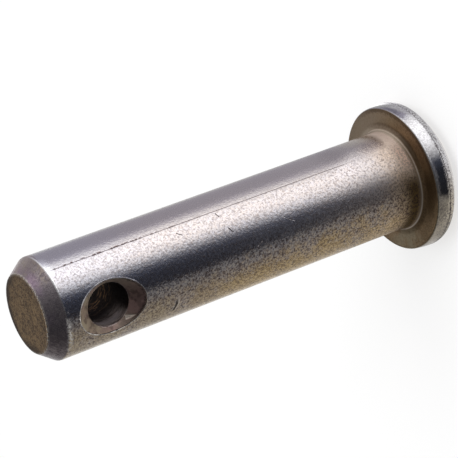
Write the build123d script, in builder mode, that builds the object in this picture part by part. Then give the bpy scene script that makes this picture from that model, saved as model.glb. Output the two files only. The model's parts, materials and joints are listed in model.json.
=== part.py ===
from build123d import *
import math
import os

# Clevis pin, in millimetres: one piece of steel, cold headed from round bar, turned at its free
# end and drilled across near that end for a cotter or a spring clip.
# It stands on its head. The origin is the centre of the head's top face, +Z runs along the
# shank to the free end, and the cross hole lies along Y.

# Shank
shank_diameter = 12.0
length_under_head = 50.0
underhead_fillet = 0.8

# Head: from the underface its rim leans outwards to a parting line, runs straight from there to
# a rounded shoulder, and a steep bevel leads on to the flat top.
head_diameter = 18.0
head_height = 4.0
rim_height = 2.33
straight_rim = 0.83
rim_lean = 6.0
underface_edge_radius = 0.22
shoulder_radius = 0.8
bevel_angle = 50.0
top_edge_radius = 1.5

# Free end
end_chamfer_width = 1.4
end_chamfer_length = 1.9
end_face_edge_radius = 0.3
end_shoulder_radius = 0.5

# Cross hole, with a countersink at each mouth
hole_diameter = 5.0
hole_to_end = 7.6
countersink_diameter = 8.45
countersink_angle = 106.0

# Places and radii that follow from these
shank_radius = shank_diameter / 2
head_radius = head_diameter / 2
leaning_rim = rim_height - straight_rim
rim_foot_radius = head_radius - leaning_rim * math.tan(math.radians(rim_lean))
bevel_height = head_height - rim_height
head_top_radius = head_radius - bevel_height * math.tan(math.radians(bevel_angle))
parting_height = bevel_height + straight_rim
end_face_height = head_height + length_under_head
end_shoulder_height = end_face_height - end_chamfer_length
end_face_radius = shank_radius - end_chamfer_width
hole_height = end_face_height - hole_to_end


def corner(profile, radius, height):
    """The corner of the half section that lies at this radius and height."""
    return profile.vertices().sort_by_distance((radius, height))[0]


with BuildPart() as clevis_pin:
    # Half of the pin's section, turned about its axis
    with BuildSketch(Plane.XZ) as section:
        with BuildLine():
            Polyline(
                (0, 0),
                (head_top_radius, 0),
                (head_radius, bevel_height),
                (head_radius, parting_height),
                (rim_foot_radius, head_height),
                (shank_radius, head_height),
                (shank_radius, end_shoulder_height),
                (end_face_radius, end_face_height),
                (0, end_face_height),
                close=True,
            )
        make_face()
        fillet(corner(section, head_top_radius, 0), top_edge_radius)
        fillet(corner(section, head_radius, bevel_height), shoulder_radius)
        fillet(corner(section, rim_foot_radius, head_height), underface_edge_radius)
        fillet(corner(section, shank_radius, head_height), underhead_fillet)
        fillet(corner(section, shank_radius, end_shoulder_height), end_shoulder_radius)
        fillet(corner(section, end_face_radius, end_face_height), end_face_edge_radius)
    revolve(axis=Axis.Z)

    # The cross hole, right through, countersunk from the front and from the back
    for side in (-1, 1):
        mouth = Plane((0, side * shank_radius, hole_height), x_dir=(1, 0, 0), z_dir=(0, side, 0))
        with Locations(mouth):
            CounterSinkHole(
                hole_diameter / 2,
                countersink_diameter / 2,
                counter_sink_angle=countersink_angle,
            )

clevis_pin.part.label = "clevis_pin"

os.makedirs("parts", exist_ok=True)
export_step(clevis_pin.part, "parts/clevis_pin.step")

print("volume", round(clevis_pin.part.volume, 1), "cubic mm")
print(clevis_pin.part.bounding_box())
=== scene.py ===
# %% [markdown]
# A clevis pin is one piece of steel: a round bar with an upset head at one end, a bevel turned at
# the other, and a countersunk hole across it for a cotter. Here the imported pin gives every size
# that matters, and a finer mesh of the same form is turned on Blender's own lathe, the Spin
# operator, so that it can carry the rolled lips, dents and speckled plating of the real one.

import json
import math

import bpy
from mathutils import Matrix, Vector, noise


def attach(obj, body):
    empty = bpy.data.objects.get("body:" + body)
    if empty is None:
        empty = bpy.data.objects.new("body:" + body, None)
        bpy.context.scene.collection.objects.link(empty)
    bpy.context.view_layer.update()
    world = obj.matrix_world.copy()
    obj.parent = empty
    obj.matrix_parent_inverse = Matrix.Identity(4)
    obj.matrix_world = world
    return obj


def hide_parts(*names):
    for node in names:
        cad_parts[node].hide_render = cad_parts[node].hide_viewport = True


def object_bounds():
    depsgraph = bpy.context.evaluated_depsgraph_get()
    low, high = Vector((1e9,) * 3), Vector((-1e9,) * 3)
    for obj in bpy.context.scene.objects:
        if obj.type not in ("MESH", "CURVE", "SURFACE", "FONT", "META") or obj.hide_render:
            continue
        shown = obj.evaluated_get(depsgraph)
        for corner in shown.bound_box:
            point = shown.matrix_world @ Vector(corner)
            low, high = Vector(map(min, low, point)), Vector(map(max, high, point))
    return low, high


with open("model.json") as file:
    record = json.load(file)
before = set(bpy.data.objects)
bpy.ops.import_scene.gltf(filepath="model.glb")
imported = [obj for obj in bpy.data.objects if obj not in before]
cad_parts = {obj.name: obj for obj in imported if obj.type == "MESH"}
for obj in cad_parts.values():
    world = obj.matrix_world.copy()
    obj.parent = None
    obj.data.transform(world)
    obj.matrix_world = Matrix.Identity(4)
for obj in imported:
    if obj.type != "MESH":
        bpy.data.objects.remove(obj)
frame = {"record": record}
cad_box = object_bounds()
mm = 0.001
print("packed box", [round(c / mm, 2) for corner in cad_box for c in corner])

# %% [markdown]
# The record's mounts already measure the pin: the shank's radius, the cross hole's radius and
# height, and the box gives the head's radius and the whole length. Reading them here keeps this
# mesh tied to the solid. Only the small forms that no mount describes are sizes of this script.

# %% Sizes from the frame, and the small forms in millimetres
mounts = {mount["name"]: mount for mount in frame["record"]["mounts"]}
shank_radius = mounts["shank"]["dims"]["r_mm"]
hole_radius = mounts["cross_hole"]["dims"]["r_mm"]
hole_length = mounts["cross_hole"]["dims"]["length_mm"]
hole_height = mounts["cross_hole"]["pos_m"][2] / mm
underface_height = mounts["underhead_seat"]["pos_m"][2] / mm
head_radius = cad_box[1].y / mm
end_height = cad_box[1].z / mm

straight_rim = 0.83
shoulder_height = 1.67
end_chamfer_width = 1.4
end_chamfer_length = 1.9
print("shank", shank_radius, "head", head_radius, "hole", hole_radius, "at", hole_height)

# %% [markdown]
# A lathe needs only half of the section. Each corner of it is given with a rounding radius, and
# the rounding is worked out as an arc between the two straight runs, because a real edge is
# never sharp: it is the rounded edge that catches the light.

# %% Round the corners of a half section
def rounded(corners, arc_points=5):
    """Turn (radius, height, rounding) corners into points, with an arc at each rounded corner."""
    points = []
    for index, (radius, height, rounding) in enumerate(corners):
        here = Vector((radius, height))
        if rounding == 0:
            points.append(here)
            continue
        before = (Vector(corners[index - 1][:2]) - here).normalized()
        after = (Vector(corners[index + 1][:2]) - here).normalized()
        half_angle = before.angle(after) / 2
        centre = here + (before + after).normalized() * rounding / math.sin(half_angle)
        start = here + before * rounding / math.tan(half_angle) - centre
        finish = here + after * rounding / math.tan(half_angle) - centre
        sweep = start.angle_signed(finish)
        for step in range(arc_points + 1):
            turn = Matrix.Rotation(-sweep * step / arc_points, 2)
            points.append(centre + turn @ start)
    return points


def divided(points, spacing):
    """Add evenly spaced points along every run that is longer than the spacing."""
    result = [points[0]]
    for start, end in zip(points, points[1:]):
        count = max(1, round((end - start).length / spacing))
        result += [start.lerp(end, step / count) for step in range(1, count + 1)]
    return result


# %% [markdown]
# The section runs from the middle of the head's crown, over the bevelled shoulder and down the
# rim, which the die left with a parting groove and a slight lean. It goes in along the underside
# to the fillet, up the shank, and over the chamfer to the middle of the end face.

# %% Draw the pin's half section
rim_lean = math.radians(6)
bevel_angle = math.radians(50)
crown_rounding = 1.5
shoulder_rounding = 0.8
groove_rounding = 0.03
groove_edge_rounding = 0.02
parting_rounding = 0.12
underface_edge_rounding = 0.22
underhead_fillet = 0.8
end_shoulder_rounding = 0.35
end_face_rounding = 0.16
parting_height = shoulder_height + straight_rim
rim_foot_radius = head_radius - (underface_height - parting_height) * math.tan(rim_lean)
head_top_radius = head_radius - shoulder_height * math.tan(bevel_angle)
groove_height = parting_height - 0.27
groove_depth = 0.06
groove_half_width = 0.07
pin_section = rounded([
    (0, 0, 0),
    (head_top_radius, 0, crown_rounding),
    (head_radius, shoulder_height, shoulder_rounding),
    (head_radius, groove_height - groove_half_width, 0),
    (head_radius - groove_depth, groove_height, groove_rounding),
    (head_radius, groove_height + groove_half_width, groove_edge_rounding),
    (head_radius, parting_height, parting_rounding),
    (rim_foot_radius, underface_height, underface_edge_rounding),
    (shank_radius, underface_height, underhead_fillet),
    (shank_radius, end_height - end_chamfer_length, end_shoulder_rounding),
    (shank_radius - end_chamfer_width, end_height, end_face_rounding),
    (0, end_height, 0),
])
print("half section of", len(pin_section), "points")

# %% [markdown]
# Spin is the lathe. One vertex is left of a plane by merging it, that vertex is drawn out along
# the half section, and the line is spun a full turn about the pin's axis. The same few steps
# make the drill with its countersinks, so they are one function.

# %% Turn a half section into a solid
def lathe(name, section, steps):
    """Spin a half section about Z into a closed solid, with its object at the origin."""
    bpy.ops.object.select_all(action="DESELECT")
    bpy.ops.mesh.primitive_plane_add(size=mm)
    piece = bpy.context.object
    piece.name = name
    bpy.ops.object.mode_set(mode="EDIT")
    bpy.ops.mesh.select_all(action="SELECT")
    bpy.ops.mesh.merge(type="CENTER")
    here = Vector((0, 0))
    for index, point in enumerate(section):
        move = ((point.x - here.x) * mm, 0, (point.y - here.y) * mm)
        if index == 0:
            bpy.ops.transform.translate(value=move)
        else:
            bpy.ops.mesh.extrude_vertices_move(TRANSFORM_OT_translate={"value": move})
        here = point
    bpy.ops.mesh.select_all(action="SELECT")
    bpy.ops.mesh.spin(steps=steps, angle=math.tau, center=(0, 0, 0), axis=(0, 0, 1))
    bpy.ops.mesh.select_all(action="SELECT")
    bpy.ops.mesh.remove_doubles(threshold=0.001 * mm)
    bpy.ops.mesh.normals_make_consistent(inside=False)
    bpy.ops.object.mode_set(mode="OBJECT")
    return piece


longest_face = 0.6
turning_steps = 192
pin = lathe("pin_body", divided(pin_section, longest_face), turning_steps)
print(pin.name, len(pin.data.vertices), "vertices", len(pin.data.polygons), "faces")

# %% [markdown]
# The cross hole is cut as on the bench: a drill with a cone at each mouth is taken away from the
# bar with a Boolean. The drill is turned on the same lathe, and is a little longer than the bar is
# thick, so that no face of it lies in the bar's own surface.

# %% Drill the cross hole
def combine(piece, tool, operation):
    """Cut the tool out of the piece, or join it on, and leave nothing of the tool behind."""
    cut = piece.modifiers.new("combine", "BOOLEAN")
    cut.operation = operation
    cut.solver = "EXACT"
    cut.object = tool
    bpy.context.view_layer.objects.active = piece
    bpy.ops.object.modifier_apply(modifier=cut.name)
    bpy.data.objects.remove(tool)
    print(operation.lower(), "leaves", len(piece.data.vertices), "vertices")


countersink_radius = 4.225
mouth_rounding = 0.12
longest_drill_face = 0.5
drill_steps = 96
beyond = shank_radius + 1
drill_section = rounded([
    (0, -beyond, 0),
    (countersink_radius, -beyond, 0),
    (countersink_radius, -shank_radius, 0),
    (hole_radius, -hole_length / 2, mouth_rounding),
    (hole_radius, hole_length / 2, mouth_rounding),
    (countersink_radius, shank_radius, 0),
    (countersink_radius, beyond, 0),
    (0, beyond, 0),
])
drill = lathe("drill", divided(drill_section, longest_drill_face), drill_steps)
drill.rotation_euler = (math.pi / 2, 0, 0)
drill.location = (0, 0, hole_height * mm)
combine(pin, drill, "DIFFERENCE")

# %% [markdown]
# The cone breaks out through the round of the shank along a lip that dips on two sides. Where it
# runs follows from the two radii: on the cone the reach grows evenly with depth, and on the
# shank depth and reach make the radius, so each point of the lip is one quadratic equation.

# %% Find the lip of the countersink
cone_slope = (countersink_radius - hole_radius) / (shank_radius - hole_length / 2)
cone_start = hole_radius - cone_slope * hole_length / 2


def lip_point(turn, side):
    """The point where the countersink's cone meets the shank, at this turn about the hole."""
    across = math.cos(turn) ** 2
    a = cone_slope ** 2 * across + 1
    b = 2 * cone_start * cone_slope * across
    c = cone_start ** 2 * across - shank_radius ** 2
    depth = (-b + math.sqrt(b * b - 4 * a * c)) / (2 * a)
    reach = cone_start + cone_slope * depth
    return Vector((reach * math.cos(turn), side * depth, hole_height + reach * math.sin(turn)))


print("lip runs through", [round(c, 2) for c in lip_point(0, -1)])
print("and through", [round(c, 2) for c in lip_point(math.pi / 2, -1)])

# %% [markdown]
# Drilling rolls a thin thread of metal up along the lip, the burr. It is a torus laid along the
# lip, thicker in some places than in others, sunk a little into the metal, and joined to the pin
# with a Boolean, so that it catches the light as one with the surface.

# %% Roll a burr along both lips
burr_radius = 0.07
burr_sunk = 0.4
burr_variation = 0.5
burr_lump = 1.3
ring_tube = 0.5
for side in (-1, 1):
    bpy.ops.object.select_all(action="DESELECT")
    bpy.ops.mesh.primitive_torus_add(
        major_radius=1, minor_radius=ring_tube, major_segments=144, minor_segments=8
    )
    burr = bpy.context.object
    for vertex in burr.data.vertices:
        turn = math.atan2(vertex.co.y, vertex.co.x)
        outward = Vector((math.cos(turn), 0, math.sin(turn)))
        offset = (math.hypot(vertex.co.x, vertex.co.y) - 1) / ring_tube
        lift = vertex.co.z / ring_tube
        place = lip_point(turn, side)
        thickness = burr_radius * (1 + burr_variation * noise.noise(place * burr_lump))
        proud = Vector((0, side, 0))
        place = place - proud * burr_sunk * burr_radius
        place = place + (outward * offset + proud * lift) * thickness
        vertex.co = place * mm
    if side > 0:
        burr.data.flip_normals()
    combine(pin, burr, "UNION")

# %% [markdown]
# Turned faces are smooth and meet at edges. Smoothing by angle keeps every edge that is sharper
# than 35 degrees, and rounds off the facets of the lathe.

# %% Shade the turned faces smooth
sharp_edge = math.radians(35)
bpy.ops.object.select_all(action="DESELECT")
pin.select_set(True)
bpy.context.view_layer.objects.active = pin
bpy.ops.object.shade_smooth_by_angle(angle=sharp_edge)
print("shaded", sum(face.use_smooth for face in pin.data.polygons), "faces smooth")

# %% [markdown]
# Shader maths reads best as plain arithmetic. Wire holds one socket, an expression on it adds the
# Math nodes that the expression needs, and every other node comes from one method.

# %% A socket that is used like a number
class Wire:
    """One output socket of a node tree, on which arithmetic adds the Math nodes it needs."""

    def __init__(self, tree, socket=None):
        self.tree = tree
        self.socket = socket

    def node(self, kind, output=0, settings=None, inputs=None, stops=()):
        """Add a node, set it, feed its sockets, and return one of its outputs as a Wire."""
        made = self.tree.nodes.new(kind)
        for name, value in (settings or {}).items():
            setattr(made, name, value)
        for index, (position, colour) in enumerate(stops):
            elements = made.color_ramp.elements
            element = elements[index] if index < 2 else elements.new(position)
            element.position = position
            element.color = colour
        for name, value in (inputs or {}).items():
            if isinstance(value, Wire):
                self.tree.links.new(value.socket, made.inputs[name])
            else:
                made.inputs[name].default_value = value
        return Wire(self.tree, made.outputs[output])

    def also(self, output):
        """Another output of the same node."""
        return Wire(self.tree, self.socket.node.outputs[output])

    def feed(self, node, name):
        """Link this socket to an input of a node."""
        self.tree.links.new(self.socket, node.inputs[name])

    def maths(self, operation, first, second=0.0):
        """One Math node with these two inputs."""
        return self.node("ShaderNodeMath", 0, {"operation": operation}, {0: first, 1: second})

    def __add__(self, other):
        return self.maths("ADD", self, other)

    __radd__ = __add__

    def __sub__(self, other):
        return self.maths("SUBTRACT", self, other)

    def __rsub__(self, other):
        return self.maths("SUBTRACT", other, self)

    def __mul__(self, other):
        return self.maths("MULTIPLY", self, other)

    __rmul__ = __mul__

    def __truediv__(self, other):
        return self.maths("DIVIDE", self, other)

    def __pow__(self, power):
        return self.maths("POWER", self, power)

    def __abs__(self):
        return self.maths("ABSOLUTE", self)

    def rise(self, low, high):
        """0 at low, 1 at high, and a smooth step between them."""
        settings = {"interpolation_type": "SMOOTHSTEP"}
        inputs = {0: self, 1: low, 2: high, 3: 0.0, 4: 1.0}
        return self.node("ShaderNodeMapRange", 0, settings, inputs)

    def near(self, value, reach):
        """1 at the value, and 0 as far from it as the reach."""
        return abs(self - value).rise(reach, 0.0)

    def colour(self, zero, one):
        """Mix two colours by this value."""
        return self.node("ShaderNodeMix", 2, {"data_type": "RGBA"}, {0: self, 6: zero, 7: one})

    def grain(self, size, detail=2.0, roughness=0.5, stretch=(1, 1, 1)):
        """Noise on this place in millimetres, with lumps of about this size."""
        factors = {0: self, 1: stretch}
        place = self.node("ShaderNodeVectorMath", 0, {"operation": "MULTIPLY"}, factors)
        inputs = {"Vector": place, "Scale": 0.5 / size, "Detail": detail, "Roughness": roughness}
        return self.node("ShaderNodeTexNoise", 0, {"noise_dimensions": "3D"}, inputs)


# %% [markdown]
# Every material starts the same way, from Blender's Principled shader, and colours are written
# as plain linear red, green and blue.

# %% Start a material
def rgb(red, green, blue):
    """A colour with full alpha, from linear red, green and blue."""
    return (red, green, blue, 1.0)


def new_material(name):
    """A material, its shader, and a Wire that starts its expressions."""
    material = bpy.data.materials.new(name)
    material.use_nodes = True
    return material, material.node_tree.nodes["Principled BSDF"], Wire(material.node_tree)


# %% [markdown]
# Yellow-passivated zinc looks different on every face of a pin, because each face was turned,
# upset, sheared or drilled, and then handled. So the finish starts from plain measures of where a
# point lies on the pin in millimetres: its height, its radius, its turn about the axis, and its
# distance from the cross hole. They come from Object coordinates, which stay with the piece.

# %% Zinc plating: where a point lies on the pin
def place_on_object(start):
    """Where a point lies on its object, in millimetres."""
    metres = start.node("ShaderNodeTexCoord", "Object")
    sockets = {0: metres, "Scale": 1 / mm}
    return start.node("ShaderNodeVectorMath", 0, {"operation": "SCALE"}, sockets)


steel, shader, start = new_material("plated_steel")
place = place_on_object(start)
across = start.node("ShaderNodeSeparateXYZ", 0, {}, {0: place})
depth = across.also(1)
height = across.also(2)
radius = (across * across + depth * depth) ** 0.5
turn = start.maths("ARCTAN2", depth, across)
from_hole = height - hole_height
hole_distance = (across * across + from_hole * from_hole) ** 0.5


def facing(azimuth):
    """How far the pin's side faces an azimuth: 1 toward it, 0 square to it, and -1 away."""
    angle = math.radians(azimuth)
    return (across * math.cos(angle) + depth * math.sin(angle)) / radius


print("measures of a point take", len(steel.node_tree.nodes), "nodes")

# %% [markdown]
# The plating is a fine matt of crystals. Dark specks sit in it where the zinc is coarse, flecks
# of warmer and cooler film lie between them, and slower mottling comes from drying and handling.
# Each is one noise with its own size of lump, so that no two of them fall together.

# %% Zinc plating: its grains
speck_size = 0.09
tint_size = 0.16
mottle_size = 0.35
patch_size = 1.5
apart = (20, 0, 0)
specks = place.grain(speck_size, 1.0, 0.5) * 0.6 + place.grain(speck_size * 1.7, 1.0, 0.5) * 0.4
beside = place.node("ShaderNodeVectorMath", 0, {"operation": "ADD"}, {0: place, 1: apart})
tints = beside.grain(tint_size, 3.0, 0.6)
mottle = place.grain(mottle_size, 3.0, 0.6)
patches = place.grain(patch_size, 3.0, 0.55)
ragged = (specks - 0.5) * 0.4
dark_specks = specks.rise(0.38, 0.68)
pale_specks = specks.rise(0.5, 0.3)
print("grains of", speck_size, tint_size, mottle_size, patch_size, "mm")

# %% [markdown]
# A mask is 1 on one face of the pin and 0 on the others. Its borders are the sizes named above,
# so it follows the form. Some borders are made ragged by the specks, as plating wears away
# crystal by crystal and never along a clean line.

# %% Zinc plating: a mask for each face of the head and shank
on_head = 1 - height.rise(underface_height + 0.4, underface_height + 0.6)
above_underface = height.rise(underface_height - 0.1, underface_height - 0.02)
on_underface = on_head * above_underface
on_underface = on_underface * radius.rise(shank_radius + 0.25, shank_radius + 0.38)
on_rim = (radius + ragged * 0.3).rise(head_radius - 0.35, head_radius - 0.25)
on_rim = on_head * on_rim * (1 - above_underface)
rim_rear = on_rim * height.rise(parting_height, parting_height - 0.15)
in_fillet = height.rise(underface_height + 0.7, underface_height + 0.3)
in_fillet = in_fillet * radius.rise(shank_radius + 0.38, shank_radius + 0.28)
# where a thin painted highlight line runs at the foot of the fillet
painted_highlight_on_fillet = radius.near(shank_radius + 0.22, 0.1) * above_underface
painted_highlight_on_fillet = painted_highlight_on_fillet * height.rise(underface_height + 0.4, underface_height + 0.2)
on_shank = radius.rise(shank_radius + 1.2, shank_radius + 0.9)
last_of_shank = height.rise(underface_height + 2.6, underface_height + 1.2) * on_shank
print("head and shank masked,", len(steel.node_tree.nodes), "nodes so far")

# %% [markdown]
# At the free end the masks follow the shoulder, where shank and chamfer meet. The chamfer's film
# reaches over the shoulder on one side. On the lit side the shoulder carries a painted highlight,
# which runs back along the shank as a short painted wedge.

# %% Zinc plating: a mask for each face of the free end
chamfer_start = end_height - end_chamfer_length
end_face_radius = shank_radius - end_chamfer_width
on_end_face = height.rise(end_height - 0.08, end_height - 0.02)
film_over = facing(30).rise(0.7, 1.0) * 0.5
on_chamfer = height + ragged * 0.5 + film_over
on_chamfer = on_chamfer.rise(chamfer_start - 0.05, chamfer_start + 0.15)
on_chamfer = on_chamfer * (1 - on_end_face)
end_edge = height.near(end_height - 0.08, 0.18) * radius.near(end_face_radius, 0.28)
# painted highlight on the lit side of the shoulder, and a wedge of it along the shank
painted_highlight_shoulder = height.near(chamfer_start - 0.02, 0.16) * facing(-24).rise(0.75, 0.95)
wedge = height.rise(chamfer_start - 1.2, chamfer_start - 0.1) * facing(-20).near(1.0, 0.04)
painted_highlight_wedge = wedge * height.rise(chamfer_start + 0.1, chamfer_start)
end_shoulder = (height + ragged * 2.5).near(chamfer_start - 0.1, 0.45)
print("free end masked,", len(steel.node_tree.nodes), "nodes so far")

# %% [markdown]
# Whatever lies close to the cross hole and below the shank's own round is in the hole. It is bore
# as far as the bore's radius, and countersink from there on. The burr alone stands above the
# round.

# %% Zinc plating: a mask for each face of the hole
below_surface = radius.rise(shank_radius - 0.02, shank_radius - 0.08)
near_hole = hole_distance.rise(countersink_radius + 0.225, countersink_radius + 0.125)
near_hole = near_hole * below_surface
near_hole = near_hole * height.rise(chamfer_start, chamfer_start - 0.1)
in_bore = hole_distance.rise(hole_radius + 0.12, hole_radius + 0.02) * near_hole
on_countersink = near_hole * (1 - in_bore)
on_burr = radius.rise(shank_radius + 0.002, shank_radius + 0.02)
on_burr = on_burr * hole_distance.rise(countersink_radius + 0.575, countersink_radius + 0.375)
print("hole masked,", len(steel.node_tree.nodes), "nodes so far")

# %% [markdown]
# A pin that has been in a bin with others carries dents and scratches, and one that was drawn
# through a die carries a faint line along its length. A dent is a short stroke: a place on the
# shank, a length, a lean and a width. The deepest one is bent, and has pushed up a pale lip beside
# it. The drawn line fades toward the head, and breaks up into dots near the free end, where the
# die has torn the surface.

# %% Zinc plating: marks of use
def mark(at_height, at_turn, length, lean, width, bend=0.0):
    """A stroke on the shank, leaning from the pin's axis by so many degrees, bent if asked."""
    along_pin = height - at_height
    around = (turn - math.radians(at_turn)) * shank_radius
    slant = math.radians(lean)
    along = along_pin * math.cos(slant) + around * math.sin(slant)
    aside = around * math.cos(slant) - along_pin * math.sin(slant)
    aside = aside + along * along * bend
    return aside.near(0, width) * abs(along).rise(length / 2, length / 4)


nick = mark(38.5, -117.5, 2.1, 104, 0.3, 0.2)
nick_lip = mark(38.2, -117.5, 2.1, 104, 0.14, 0.2)
marks = nick * 1.1 + mark(37.54, -123, 1.3, 58, 0.14) * 0.8
scratches = [
    (30.0, -55.4, 1.1, 60, 0.08),
    (30.6, -34, 0.8, 70, 0.06),
    (36.0, -40, 0.9, 40, 0.06),
    (22.5, -66, 1.6, 35, 0.05),
    (27.0, -80, 1.0, -30, 0.05),
]
for scratch in scratches:
    marks = marks + mark(*scratch)
drawn_turn = math.radians(-28)
drawn_line = turn.near(drawn_turn, 0.014) * height.rise(9, 14) * (1 - on_chamfer)
dots = place.grain(0.22, 1.0, 0.5).rise(0.50, 0.60) * turn.near(drawn_turn + 0.01, 0.04)
dots = dots * height.rise(30, 46)
print("two dents,", len(scratches), "scratches and one drawn line")

# %% [markdown]
# The passivation film kept its gold on one side of the shank only, and the gold breaks up in
# patches toward the worn grey of the rest. A painted bluish reflection runs between the two. Near
# the head the film has browned, and is painted lighter on the lit side. Just before that the shank
# carries a painted shade on one side and a painted highlight on the lit side.

# %% Zinc plating: colour of the shank
toward_end = height.rise(36, 50)
worn_zinc = toward_end.colour(rgb(0.63, 0.58, 0.57), rgb(0.61, 0.59, 0.62))
toward_gold = facing(-140.3)
smooth_side = facing(15).rise(0.62, 0.86)
lit_side = facing(-19).rise(0.45, 0.9)
gold = (toward_gold + (patches - 0.5) * 1.0 + (tints - 0.5) * 1.0).rise(0.55, 1.05)
gold_tint = height.rise(26, 42).colour(rgb(0.83, 0.59, 0.27), rgb(0.60, 0.48, 0.32))
warm_zinc = toward_gold.rise(0.2, 0.6).colour(worn_zinc, rgb(0.63, 0.545, 0.50))
plating = gold.colour(warm_zinc, gold_tint)
# painted reflection: a bluish tint where the shank mirrors the black card
painted_blue_reflection = facing(-74).rise(0.88, 0.98) * height.rise(10, 24) * 0.5
plating = painted_blue_reflection.colour(plating, rgb(0.57, 0.60, 0.70))
before_head = height.near(12.5, 3.5)
# painted shade on one side of the shank before the head, and a painted highlight on the lit side
shaded = facing(0).rise(0.87, 0.93) * before_head * 0.2
plating = shaded.colour(plating, rgb(0.16, 0.13, 0.14))
painted_highlight_before_head = facing(-34).rise(0.97, 1.0) * before_head * 0.5
plating = painted_highlight_before_head.colour(plating, rgb(0.80, 0.74, 0.75))
head_brown = (height + (patches - 0.5) * 3).rise(10.5, 5.2) * radius.rise(7.0, 6.8)
# the brown film near the head, painted lighter on the lit side
brown_film_and_painted_light = lit_side.colour(rgb(0.62, 0.45, 0.27), rgb(0.76, 0.61, 0.49))
plating = head_brown.colour(plating, brown_film_and_painted_light)
print("film laid on the shank,", len(steel.node_tree.nodes), "nodes so far")

# %% [markdown]
# Warm and cool flecks lie in the grey, pale crystals in the gold, and dark specks in both, but far
# fewer on the side that rubbed smooth. The last of the shank before the fillet is painted dark on
# one side and pale on the lit side, as painted shade and light. The marks go on top of all that.

# %% Zinc plating: flecks and marks on the shank
speckle = (1 - smooth_side * 0.85) * (0.55 + 0.45 * toward_gold.rise(0.2, 0.7))
warm_flecks = tints.rise(0.5, 0.68) * speckle * 0.5 * (1 - 0.5 * toward_end)
plating = warm_flecks.colour(plating, rgb(0.70, 0.54, 0.46))
cool_flecks = tints.rise(0.5, 0.32) * speckle * 0.4 * (1 - 0.85 * toward_gold.rise(0.2, 0.6))
plating = cool_flecks.colour(plating, rgb(0.50, 0.50, 0.64))
pale_crystals = pale_specks * toward_gold.rise(0.3, 0.7) * 0.5
plating = pale_crystals.colour(plating, rgb(0.83, 0.71, 0.52))
# painted light and shade: the last of the shank is pale on its lit side and dark on the other
painted_light_and_shade_by_fillet = lit_side.colour(rgb(0.29, 0.19, 0.07), rgb(1.0, 0.86, 0.76))
plating = (last_of_shank * 0.9).colour(plating, painted_light_and_shade_by_fillet)
dark_flecks = dark_specks * speckle * (1 - 0.2 * gold) * (1 - 0.5 * last_of_shank * lit_side)
plating = dark_flecks.colour(plating, rgb(0.12, 0.085, 0.08))
plating = (nick_lip * 0.9).colour(plating, rgb(0.90, 0.80, 0.69))
plating = (marks * 0.9).colour(plating, rgb(0.03, 0.02, 0.02))
plating = (drawn_line * 0.8 + dots * 0.9).colour(plating, rgb(0.10, 0.065, 0.06))
print("shank coloured,", len(steel.node_tree.nodes), "nodes so far")

# %% [markdown]
# The rim of the head is struck bright by the die, and its rear part below the parting line stays
# speckled, with one patch painted darker as painted shade. The underside and the fillet are never
# rubbed, so they keep a dull brown film, with olive patches at one side and a darker border. The
# underside is painted lighter and darker around the head as painted light and shade, the fillet
# is painted dark on one side and light on the lit side, and a thin painted highlight line runs at
# its foot.

# %% Zinc plating: colour of the head
rim_tint = toward_gold.rise(0.2, 0.8).colour(rgb(0.64, 0.63, 0.65), rgb(0.50, 0.44, 0.35))
# painted shade: a darker bluish patch on one side of the rim
painted_shade_on_rim = facing(-4).rise(0.95, 1.0) * 0.35
rim_tint = painted_shade_on_rim.colour(rim_tint, rgb(0.42, 0.39, 0.46))
rim_specks = dark_specks * (0.35 + 0.5 * rim_rear + 0.3 * toward_gold.rise(0.3, 0.8))
rim_tint = rim_specks.colour(rim_tint, rgb(0.16, 0.14, 0.14))
plating = on_rim.colour(plating, rim_tint)
under_mottle = (patches * 0.6 + specks * 0.4).rise(0.35, 0.65)
under_tint = under_mottle.colour(rgb(0.32, 0.225, 0.135), rgb(0.20, 0.135, 0.078))
# painted light and shade: the underside is lighter toward one side, darker toward another, and
# lighter near the fillet
under_tint = facing(56).rise(0.3, 1.0).colour(under_tint, rgb(0.335, 0.26, 0.19))
painted_shade_under_head = facing(-134).rise(0.6, 1.0) * 0.4
under_tint = painted_shade_under_head.colour(under_tint, rgb(0.16, 0.11, 0.055))
olive_patches = patches.rise(0.42, 0.54) * facing(-165).rise(0.88, 1.0) * 0.3
under_tint = olive_patches.colour(under_tint, rgb(0.50, 0.47, 0.35))
painted_light_under_head = radius.rise(7.1, 6.5) * facing(20).rise(0.2, 0.9) * 0.7
under_tint = painted_light_under_head.colour(under_tint, rgb(0.62, 0.52, 0.42))
under_edge = (radius + ragged * 1.2).rise(8.15, 8.5) * facing(-24).rise(0.3, 0.8) * 0.6
under_tint = under_edge.colour(under_tint, rgb(0.10, 0.06, 0.035))
plating = on_underface.colour(plating, under_tint)
# painted light and shade: the fillet is dark on one side and light on the lit side
fillet_painted_light_and_shade = facing(10).rise(0.4, 0.95).colour(rgb(0.34, 0.25, 0.175), rgb(0.60, 0.49, 0.38))
plating = in_fillet.colour(plating, fillet_painted_light_and_shade)
# the painted highlight line at the fillet's foot
plating = (painted_highlight_on_fillet * 0.75).colour(plating, rgb(0.95, 0.86, 0.76))
print("head coloured,", len(steel.node_tree.nodes), "nodes so far")

# %% [markdown]
# The end face was sheared from the bar, so its plating is coarse and holds a brown film that is
# darkest at its border.

# %% Zinc plating: colour of the end face
end_mottle = (specks * 0.6 + mottle * 0.3 + patches * 0.1).rise(0.41, 0.60)
end_tint = end_mottle.colour(rgb(0.345, 0.23, 0.12), rgb(0.10, 0.062, 0.036))
end_border = (radius + (patches - 0.5) * 1.5).rise(3.3, 4.5)
end_border = end_border * (0.3 + 0.7 * facing(110).rise(-0.3, 0.6))
end_tint = end_border.colour(end_tint, rgb(0.07, 0.045, 0.03))
plating = on_end_face.colour(plating, end_tint)
print("end face coloured,", len(steel.node_tree.nodes), "nodes so far")
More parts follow.
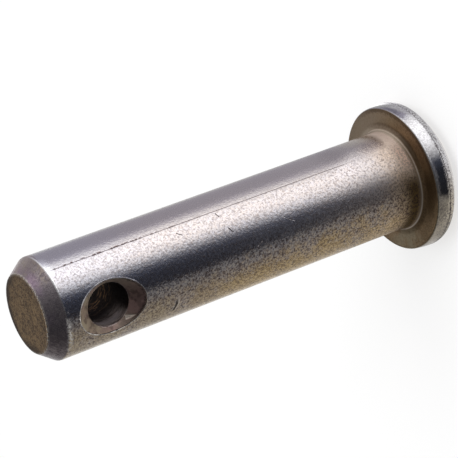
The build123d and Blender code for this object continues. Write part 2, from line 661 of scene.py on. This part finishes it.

# %% [markdown]
# The chamfer was turned, and is a smoother lilac grey. Beige film lies on it in spots and purple
# film toward the end face, and two sides of it are painted darker, as painted shade.

# %% Zinc plating: colour of the chamfer
chamfer_shade = rgb(0.20, 0.165, 0.18)
chamfer_mottle = (specks * 0.4 + mottle * 0.3 + patches * 0.3).rise(0.4, 0.6)
chamfer_tint = chamfer_mottle.colour(rgb(0.41, 0.35, 0.355), chamfer_shade)
pale_film = facing(40).rise(0.5, 0.95) * 0.45
chamfer_tint = pale_film.colour(chamfer_tint, rgb(0.60, 0.49, 0.47))
beige_film = mottle.rise(0.5, 0.62) * facing(0).rise(0.5, 0.9) * 0.5
chamfer_tint = beige_film.colour(chamfer_tint, rgb(0.56, 0.47, 0.40))
purple_film = height.rise(end_height - 1.3, end_height - 0.4) * facing(-25).rise(0.3, 0.9)
purple_film = purple_film * patches.rise(0.4, 0.56) * 0.6
chamfer_tint = purple_film.colour(chamfer_tint, rgb(0.42, 0.30, 0.41))
# painted shade: two sides of the chamfer are darker
painted_blue_shade_on_chamfer = facing(-70).rise(0.7, 1.0) * 0.4
chamfer_tint = painted_blue_shade_on_chamfer.colour(chamfer_tint, rgb(0.20, 0.19, 0.24))
painted_shade_on_chamfer = facing(-4).rise(0.96, 1.0) * 0.25
chamfer_tint = painted_shade_on_chamfer.colour(chamfer_tint, chamfer_shade)
plating = on_chamfer.colour(plating, chamfer_tint)
print("chamfer coloured,", len(steel.node_tree.nodes), "nodes so far")

# %% [markdown]
# Drilling came before plating, and the bath hardly reaches into a hole. The countersink is a
# muddy brown with dark specks, under patches of olive and pink film. It is paler toward the free
# end and toward one side, and one wall is painted lighter, as painted light.

# %% Zinc plating: colour of the countersink
sink_light = from_hole * 0.2 + across * 0.09 + (specks - 0.5) * 1.2 + (patches - 0.5)
sink_tint = sink_light.rise(-0.5, 0.6).colour(rgb(0.18, 0.12, 0.11), rgb(0.38, 0.295, 0.215))
sink_specks = mottle.rise(0.48, 0.60) * 0.5
sink_tint = sink_specks.colour(sink_tint, rgb(0.06, 0.04, 0.035))
olive_film = patches.rise(0.44, 0.56) * (from_hole * 0.5 + across * 0.3).rise(-0.8, 0.8) * 0.6
sink_tint = olive_film.colour(sink_tint, rgb(0.44, 0.38, 0.26))
sink_top = across.rise(0.3, 3.0) * 0.35
sink_tint = sink_top.colour(sink_tint, rgb(0.44, 0.39, 0.31))
pink_film = beside.grain(0.9, 2.0, 0.5).rise(0.5, 0.6) * 0.5
sink_tint = pink_film.colour(sink_tint, rgb(0.40, 0.26, 0.24))
# painted light: one wall of the countersink is paler
lit_wall = ((from_hole * -0.5 - across * 0.87) / hole_distance).rise(0.86, 1.0) * 0.5
sink_tint = lit_wall.colour(sink_tint, rgb(0.46, 0.37, 0.30))
print("countersink coloured,", len(steel.node_tree.nodes), "nodes so far")

# %% [markdown]
# A chip is broken from the countersink: three straight edges about a floor painted paler, as a
# painted reflection. Each edge is a line on the unrolled cone, where one measure runs around the
# hole and the other outward. Across from the burr the lip is darker instead.

# %% Zinc plating: the chip and the lip of the countersink
around_hole = (start.maths("ARCTAN2", from_hole, across) + math.radians(126)) * 3.0
outward = hole_distance - hole_radius
chip = (outward * 0.64 - 0.5 - around_hole + ragged * 0.3).rise(0.0, 0.06)
chip = chip * (around_hole + outward * 1.36 + 0.5).rise(0.0, 0.06)
chip = chip * (around_hole - outward * 1.81 + 1.74).rise(0.0, 0.3)
# painted reflection: the chip's floor is paler
sink_tint = (chip * specks.rise(0.2, 0.5)).colour(sink_tint, rgb(0.74, 0.64, 0.56))
burr_side = ((from_hole * 0.6 - across * 0.8) / hole_distance).rise(-0.4, 0.6)
dark_lip = radius.near(shank_radius - 0.15, 0.13) * specks.rise(0.6, 0.45) * (1 - burr_side)
sink_tint = (dark_lip * 0.8).colour(sink_tint, rgb(0.04, 0.03, 0.03))
plating = on_countersink.colour(plating, sink_tint)
print("chip and lip coloured,", len(steel.node_tree.nodes), "nodes so far")

# %% [markdown]
# The bore is painted nearly black, and darker with depth, as painted shade. The drill left fine
# rings in it, which carry painted brown glints, and it is painted brighter only at the mouth, with
# a band of painted sheen.

# %% Zinc plating: colour of the bore
rings = place.grain(0.12, 2.0, 0.6, (0.25, 1, 0.25))
# painted shade and glints: a nearly black bore with brown glints on its rings
glints = rings.rise(0.49, 0.66) * depth.near(0.8, 2.6)
bore_painted_light_and_shade = glints.colour(rgb(0.03, 0.018, 0.016), rgb(0.36, 0.21, 0.11))
# painted shade: the bore darkens with depth
bore_painted_light_and_shade = depth.rise(0, 3.5).colour(bore_painted_light_and_shade, rgb(0.012, 0.008, 0.007))
# painted light at the mouth, and a band of painted sheen
bore_mouth = (depth * -1).rise(1.3, 3.8) * (across * -1).rise(0.8, 2.2)
painted_light_at_mouth = rings.rise(0.38, 0.6).colour(rgb(0.30, 0.23, 0.21), rgb(0.68, 0.57, 0.55))
bore_painted_light_and_shade = bore_mouth.colour(bore_painted_light_and_shade, painted_light_at_mouth)
sheen = depth.near(-3.7, 0.9) * (across * -1).rise(1.2, 2.3) * 0.7
bore_painted_light_and_shade = sheen.colour(bore_painted_light_and_shade, rgb(0.88, 0.80, 0.82))
plating = in_bore.colour(plating, bore_painted_light_and_shade)
print("bore coloured,", len(steel.node_tree.nodes), "nodes so far")

# %% [markdown]
# Wear shows bare metal on whatever stands proud: the rolled burr, the border of the end face and
# one stretch of the shoulder that has been knocked. The shoulder and a wedge behind it on the lit
# side get a painted highlight. The pin is metallic all over, but less so in the countersink, under
# its thick dull film, and less so on the knocked places, which are torn and matt.

# %% Zinc plating: worn edges
burr_bits = on_burr * burr_side * mottle.rise(0.44, 0.58)
scuff = end_shoulder * toward_gold.rise(0.2, 0.7) * specks.rise(0.40, 0.54)
scuff = scuff * (patches * 0.5 + mottle * 0.5).rise(0.46, 0.56) * 0.8
plating = (on_burr * (0.3 + 0.6 * burr_side)).colour(plating, rgb(0.88, 0.84, 0.80))
plating = (end_edge * specks.rise(0.4, 0.6) * 0.9).colour(plating, rgb(0.80, 0.74, 0.68))
plating = scuff.colour(plating, rgb(0.86, 0.84, 0.80))
# painted highlights on the shoulder and on the wedge behind it
plating = painted_highlight_shoulder.colour(plating, rgb(0.97, 0.96, 0.97))
plating = (painted_highlight_wedge * 0.85).colour(plating, rgb(0.97, 0.97, 1.0))
plating.feed(shader, "Base Color")
metallic = 1 - on_countersink * (0.08 + 0.3 * from_hole.rise(-1.5, 2))
metallic = metallic - 0.5 * burr_bits - 0.35 * scuff
metallic.feed(shader, "Metallic")
print("colour linked,", len(steel.node_tree.nodes), "nodes so far")

# %% [markdown]
# Gloss follows the same story. The rubbed shank is the brightest, its dark specks are dull, and
# so is the brown film toward the head. The sheared end, the chamfer, the countersink and the
# bore were never rubbed and are rougher.

# %% Zinc plating: gloss
shank_roughness = 0.09
dull_near_head = height.rise(24, 7) * (1 - on_head)
roughness = shank_roughness + 0.2 * dark_specks * (1 - on_rim * 0.7)
roughness = roughness + 0.12 * dull_near_head * (1 - 0.7 * smooth_side)
roughness = roughness + 0.07 * height.rise(16, 7) * on_shank * (1 - 0.9 * smooth_side)
roughness = roughness + 0.14 * head_brown * (1 - 0.6 * smooth_side)
roughness = roughness + 0.42 * last_of_shank * lit_side
roughness = roughness + 0.16 * pale_specks * on_shank * (1 - smooth_side)
roughness = roughness + on_end_face * 0.2 + on_chamfer * 0.1 + on_underface * 0.3
roughness = roughness + in_bore * 0.45 + on_countersink * 0.25
roughness = roughness - on_rim * 0.04 + rim_rear * 0.15 + scuff * 0.3 + burr_bits * 0.3
roughness.feed(shader, "Roughness")
print("gloss linked, from", shank_roughness)

# %% [markdown]
# The crystals stand up by a few hundredths of a millimetre, which is too fine to model, so they
# go into the Bump node with its distance in millimetres. The chamfer has faint turning rings
# instead, and the strokes and the drawn line are cut in.

# %% Zinc plating: relief
shank_relief = 0.024
turning = place.grain(0.12, 1.0, 0.5, (0.1, 0.1, 1.0))
rim_worn = on_rim * toward_gold.rise(0.65, 0.85)
relief = (tints + specks * 0.5) * shank_relief
relief = relief * (1 - 0.5 * on_rim + rim_rear + 0.6 * rim_worn)
relief = relief + turning * on_chamfer * 0.004 + on_end_face * patches * 0.03
relief = relief - marks * 0.06 - drawn_line * 0.012 - dots * 0.02 - chip * 0.05
bump = start.node("ShaderNodeBump", 0, {}, {"Strength": 1.0, "Distance": mm, "Height": relief})
bump.feed(shader, "Normal")
print("relief linked, in all", len(steel.node_tree.nodes), "nodes")

# %% [markdown]
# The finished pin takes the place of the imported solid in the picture. It rides on the only body,
# and its slot names the record's finish, for programs that can't read this node tree.

# %% Plate the pin and put it on its body
pin.data.materials.clear()
pin.data.materials.append(steel)
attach(pin, "root")
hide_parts("clevis_pin")
print(pin.name, "is", steel.name)

# %% [markdown]
# The pin stands on a plain pale floor. The floor is lit like paper so that the shadow stays, and
# a little of its own light keeps it nearly white. The pin doesn't mirror the floor itself, but
# the cards of the tent, whose foot lies just above it.

# %% Floor
bpy.ops.object.select_all(action="DESELECT")
bpy.ops.mesh.primitive_plane_add(size=3)
floor = bpy.context.object
floor.name = "floor"
floor.visible_glossy = False
white, floor_shader, start = new_material("pale_floor")
floor_shader.inputs["Base Color"].default_value = rgb(0.97, 0.97, 0.97)
floor_shader.inputs["Roughness"].default_value = 0.9
floor_shader.inputs["Specular IOR Level"].default_value = 0
seen = start.node("ShaderNodeLightPath", "Is Camera Ray")
glow = start.node("ShaderNodeEmission", 0, {}, {"Color": rgb(1, 1, 1), "Strength": 1.0})
lit = Wire(white.node_tree, floor_shader.outputs["BSDF"])
floor_mix = start.node("ShaderNodeMixShader", 0, {}, {0: seen * 0.6, 1: lit, 2: glow})
floor_mix.feed(white.node_tree.nodes["Material Output"], "Surface")
floor.data.materials.append(white)
print("floor staged")

# %% [markdown]
# Bright metal is only as good as what it mirrors. On the bench it is shot inside a tent hung with
# white, grey and black cards. Here the tent is a half sphere with a flat foot, and only the
# metal's reflections see it, so it lights nothing else. The cards are set by azimuth about the
# pin: one height of them below, one above, and two smaller rings laid on the foot by the head.

# %% Tent
tent_radius = 400
tent_centre = Vector((0, -10, 0))
bpy.ops.object.select_all(action="DESELECT")
bpy.ops.mesh.primitive_uv_sphere_add(segments=64, ring_count=32, radius=tent_radius * mm)
tent = bpy.context.object
tent.name = "card_tent"
bpy.ops.object.mode_set(mode="EDIT")
bpy.ops.mesh.select_all(action="SELECT")
foot = (0, 0, 0.1 * mm)
bpy.ops.mesh.bisect(plane_co=foot, plane_no=(0, 0, 1), clear_inner=True, use_fill=True)
bpy.ops.object.mode_set(mode="OBJECT")
tent.visible_camera = False
tent.visible_diffuse = False
tent.visible_shadow = False
tent.visible_transmission = False
tent.visible_volume_scatter = False
print("tent of", len(tent.data.polygons), "faces")

# %% [markdown]
# A card ring is a gradient about the vertical axis. The pin's foot stands at the tent's centre,
# but its middle is what the camera sees, so away from the foot the rings are moved back a little.

# %% Cards: measures and rings
cards, spare_shader, start = new_material("cards")
cards.node_tree.nodes.remove(spare_shader)
place = place_on_object(start)
out = start.node("ShaderNodeVectorMath", "Value", {"operation": "LENGTH"}, {0: place})
moved = {0: tent_centre, "Scale": out.rise(20, 26)}
shift = start.node("ShaderNodeVectorMath", 0, {"operation": "SCALE"}, moved)
shifted = start.node("ShaderNodeVectorMath", 0, {"operation": "SUBTRACT"}, {0: place, 1: shift})
turn = start.node("ShaderNodeTexGradient", 1, {"gradient_type": "RADIAL"}, {0: shifted})
up = start.node("ShaderNodeSeparateXYZ", "Z", {}, {0: place}) * (1 / tent_radius)


def card_ring(levels):
    """A ring of cards: their colours by azimuth in degrees, from -180 to 180."""
    stops = [((azimuth + 180) / 360, rgb(*level)) for azimuth, level in levels]
    return start.node("ShaderNodeValToRGB", 0, {}, {0: turn}, stops)


def grey(level, tint=(1, 1, 1)):
    """A grey card of this brightness, tinted if asked."""
    return tuple(level * c for c in tint)


cool = (0.84, 0.92, 1.22)
lilac = (0.97, 0.94, 1.08)
print("cards measured over", tent_radius, "mm")

# %% [markdown]
# The low ring gives the shank its bands: a broad white card on one side, a black one in front,
# and greys between. The high ring does the same for the chamfer, more softly.

# %% Cards: the walls of the tent
low_ring = card_ring([
    (-180, grey(0.38)), (180, grey(0.38)), (-154, grey(0.33)), (-134, grey(0.27)),
    (-109, grey(0.2)), (-106, grey(0.04, cool)), (-70, grey(0.05, cool)), (-56, grey(0.11, cool)),
    (-43, grey(0.6)), (-35, grey(1.2)), (-12, grey(1.95)), (6, grey(1.9)), (20, grey(1.2)),
    (30, grey(0.6, lilac)), (38, grey(0.42, lilac)), (66, grey(0.41, lilac)),
    (78, grey(0.42, lilac)), (90, grey(0.6)), (98, grey(0.85)), (120, grey(0.85)),
    (136, grey(0.75)), (152, grey(0.45)),
])
high_ring = card_ring([
    (-180, grey(0.2)), (180, grey(0.2)), (-156, grey(0.12)), (-124, grey(0.09)), (-92, grey(0.09)),
    (-64, grey(0.12)), (-50, grey(0.2)), (-28, grey(0.38)), (-4, grey(0.62)), (17, grey(0.85)),
    (49, grey(0.5)), (76, grey(0.5)), (96, grey(0.3)), (116, grey(0.26)), (150, grey(0.3)),
])
print("two wall rings")

# %% [markdown]
# The rim of the head looks down at the foot of the tent close by, where small cards stand for
# the things that lie around a pin on a bench: they put the white and black patches on the rim.

# %% Cards: the foot of the tent
near_ring = card_ring([
    (-180, grey(0.5)), (180, grey(0.5)), (-161, grey(0.55)), (-149, grey(0.56)), (-136, grey(0.42)),
    (-122, grey(0.33)), (-105, grey(0.33)), (-99, grey(0.025, cool)), (-72, grey(0.03, cool)),
    (-62, grey(0.08, cool)), (-52, grey(0.7)), (-39, grey(1.5)), (-20, grey(1.8)), (-7, grey(1.3)),
    (3, grey(0.5, lilac)), (14, grey(0.30, lilac)), (28, grey(0.31, lilac)), (45, grey(0.44)),
    (100, grey(0.6)), (136, grey(0.95)), (160, grey(0.55)),
])
foot_ring = card_ring([
    (-180, grey(0.5)), (180, grey(0.5)), (-165, grey(0.66)), (-150, grey(0.46)), (-138, grey(0.54)),
    (-110, grey(0.85)), (-64, grey(0.85)), (-34, grey(0.85)), (-10, grey(0.7)), (12, grey(0.7)),
    (30, grey(0.5)), (60, grey(0.5)),
])
print("two foot rings")

# %% [markdown]
# The cards are put together from the widest to the nearest, so a near one covers a wide one. One
# bright card overhead lifts the end face, which would otherwise mirror the dark roof, and a small
# one close to the head puts a bright spot on its rim.

# %% Cards: together on the tent
overhead = rgb(*grey(2.0))
roof = rgb(*grey(0.2))
foot_grey = rgb(*grey(0.5))
near_card = rgb(*grey(1.8))
overhead_azimuth = math.radians(116)
overhead_elevation = math.radians(57)
toward_overhead = Vector((
    math.cos(overhead_elevation) * math.cos(overhead_azimuth),
    math.cos(overhead_elevation) * math.sin(overhead_azimuth),
    math.sin(overhead_elevation),
))
facing_it = {0: place, 1: toward_overhead}
ahead = start.node("ShaderNodeVectorMath", "Value", {"operation": "DOT_PRODUCT"}, facing_it)
paper = up.rise(-0.02, 0.2).colour(low_ring, high_ring)
paper = up.rise(0.75, 0.9).colour(paper, roof)
paper = (ahead * (1 / tent_radius)).rise(0.97, 0.99).colour(paper, overhead)
paper = (out.rise(80, 45) * 0.085 + out.rise(38, 24) * 0.1).colour(paper, foot_grey)
paper = out.rise(20.1, 19.3).colour(paper, near_ring)
paper = out.rise(13.9, 13.1).colour(paper, foot_ring)
paper = (out.rise(11.7, 11.1) * turn.near(0.605, 0.1)).colour(paper, near_card)
glow = start.node("ShaderNodeEmission", 0, {}, {"Color": paper, "Strength": 1.0})
glow.feed(cards.node_tree.nodes["Material Output"], "Surface")
tent.data.materials.append(cards)
print("cards take", len(cards.node_tree.nodes), "nodes")

# %% [markdown]
# The room itself is an even white, and one large soft lamp to the right gives the shadow a side.
# The lamp is hidden from reflections, because the cards already say what the metal mirrors.

# %% Light
room_light = 0.8
world = bpy.data.worlds.new("studio")
bpy.context.scene.world = world
world.use_nodes = True
world.node_tree.nodes["Background"].inputs["Color"].default_value = rgb(1, 1, 1)
world.node_tree.nodes["Background"].inputs["Strength"].default_value = room_light

key_data = bpy.data.lights.new("key", "AREA")
key_data.size = 0.5
key_data.energy = 3.0
key = bpy.data.objects.new("key", key_data)
bpy.context.collection.objects.link(key)
key.location = (0.45, -0.1, 0.7)
key.rotation_euler = (-key.location).to_track_quat("-Z", "Y").to_euler()
key.visible_glossy = False
print("world at", room_light, "and a key of", key_data.energy, "W")

# %% [markdown]
# The pin stands on its head, but is looked at from the side of its free end with the camera
# rolled over, so that it seems to lie down with the free end at the left. A long lens from a
# hand's length away keeps the taper toward the head slight.

# %% Camera
camera_azimuth = math.radians(25.7256)
camera_elevation = math.radians(27.9116)
camera_roll = math.radians(-110.2059)
camera_distance = 234.16 * mm
camera_aim = Vector((1.003, 0.473, 27.044)) * mm
toward_camera = Vector((
    math.sin(camera_azimuth) * math.cos(camera_elevation),
    -math.cos(camera_azimuth) * math.cos(camera_elevation),
    math.sin(camera_elevation),
))
camera_data = bpy.data.cameras.new("camera")
camera_data.lens = 160.5
camera_data.clip_start = 10 * mm
camera_data.clip_end = 10
camera = bpy.data.objects.new("camera", camera_data)
bpy.context.collection.objects.link(camera)
camera.location = camera_aim + toward_camera * camera_distance
upright = (-toward_camera).to_track_quat("-Z", "Y").to_matrix()
camera.rotation_euler = (upright @ Matrix.Rotation(camera_roll, 3, "Z")).to_euler()
bpy.context.scene.camera = camera
bpy.context.scene.view_settings.view_transform = "Standard"
print("camera at", [round(c / mm, 1) for c in camera.location], "mm")
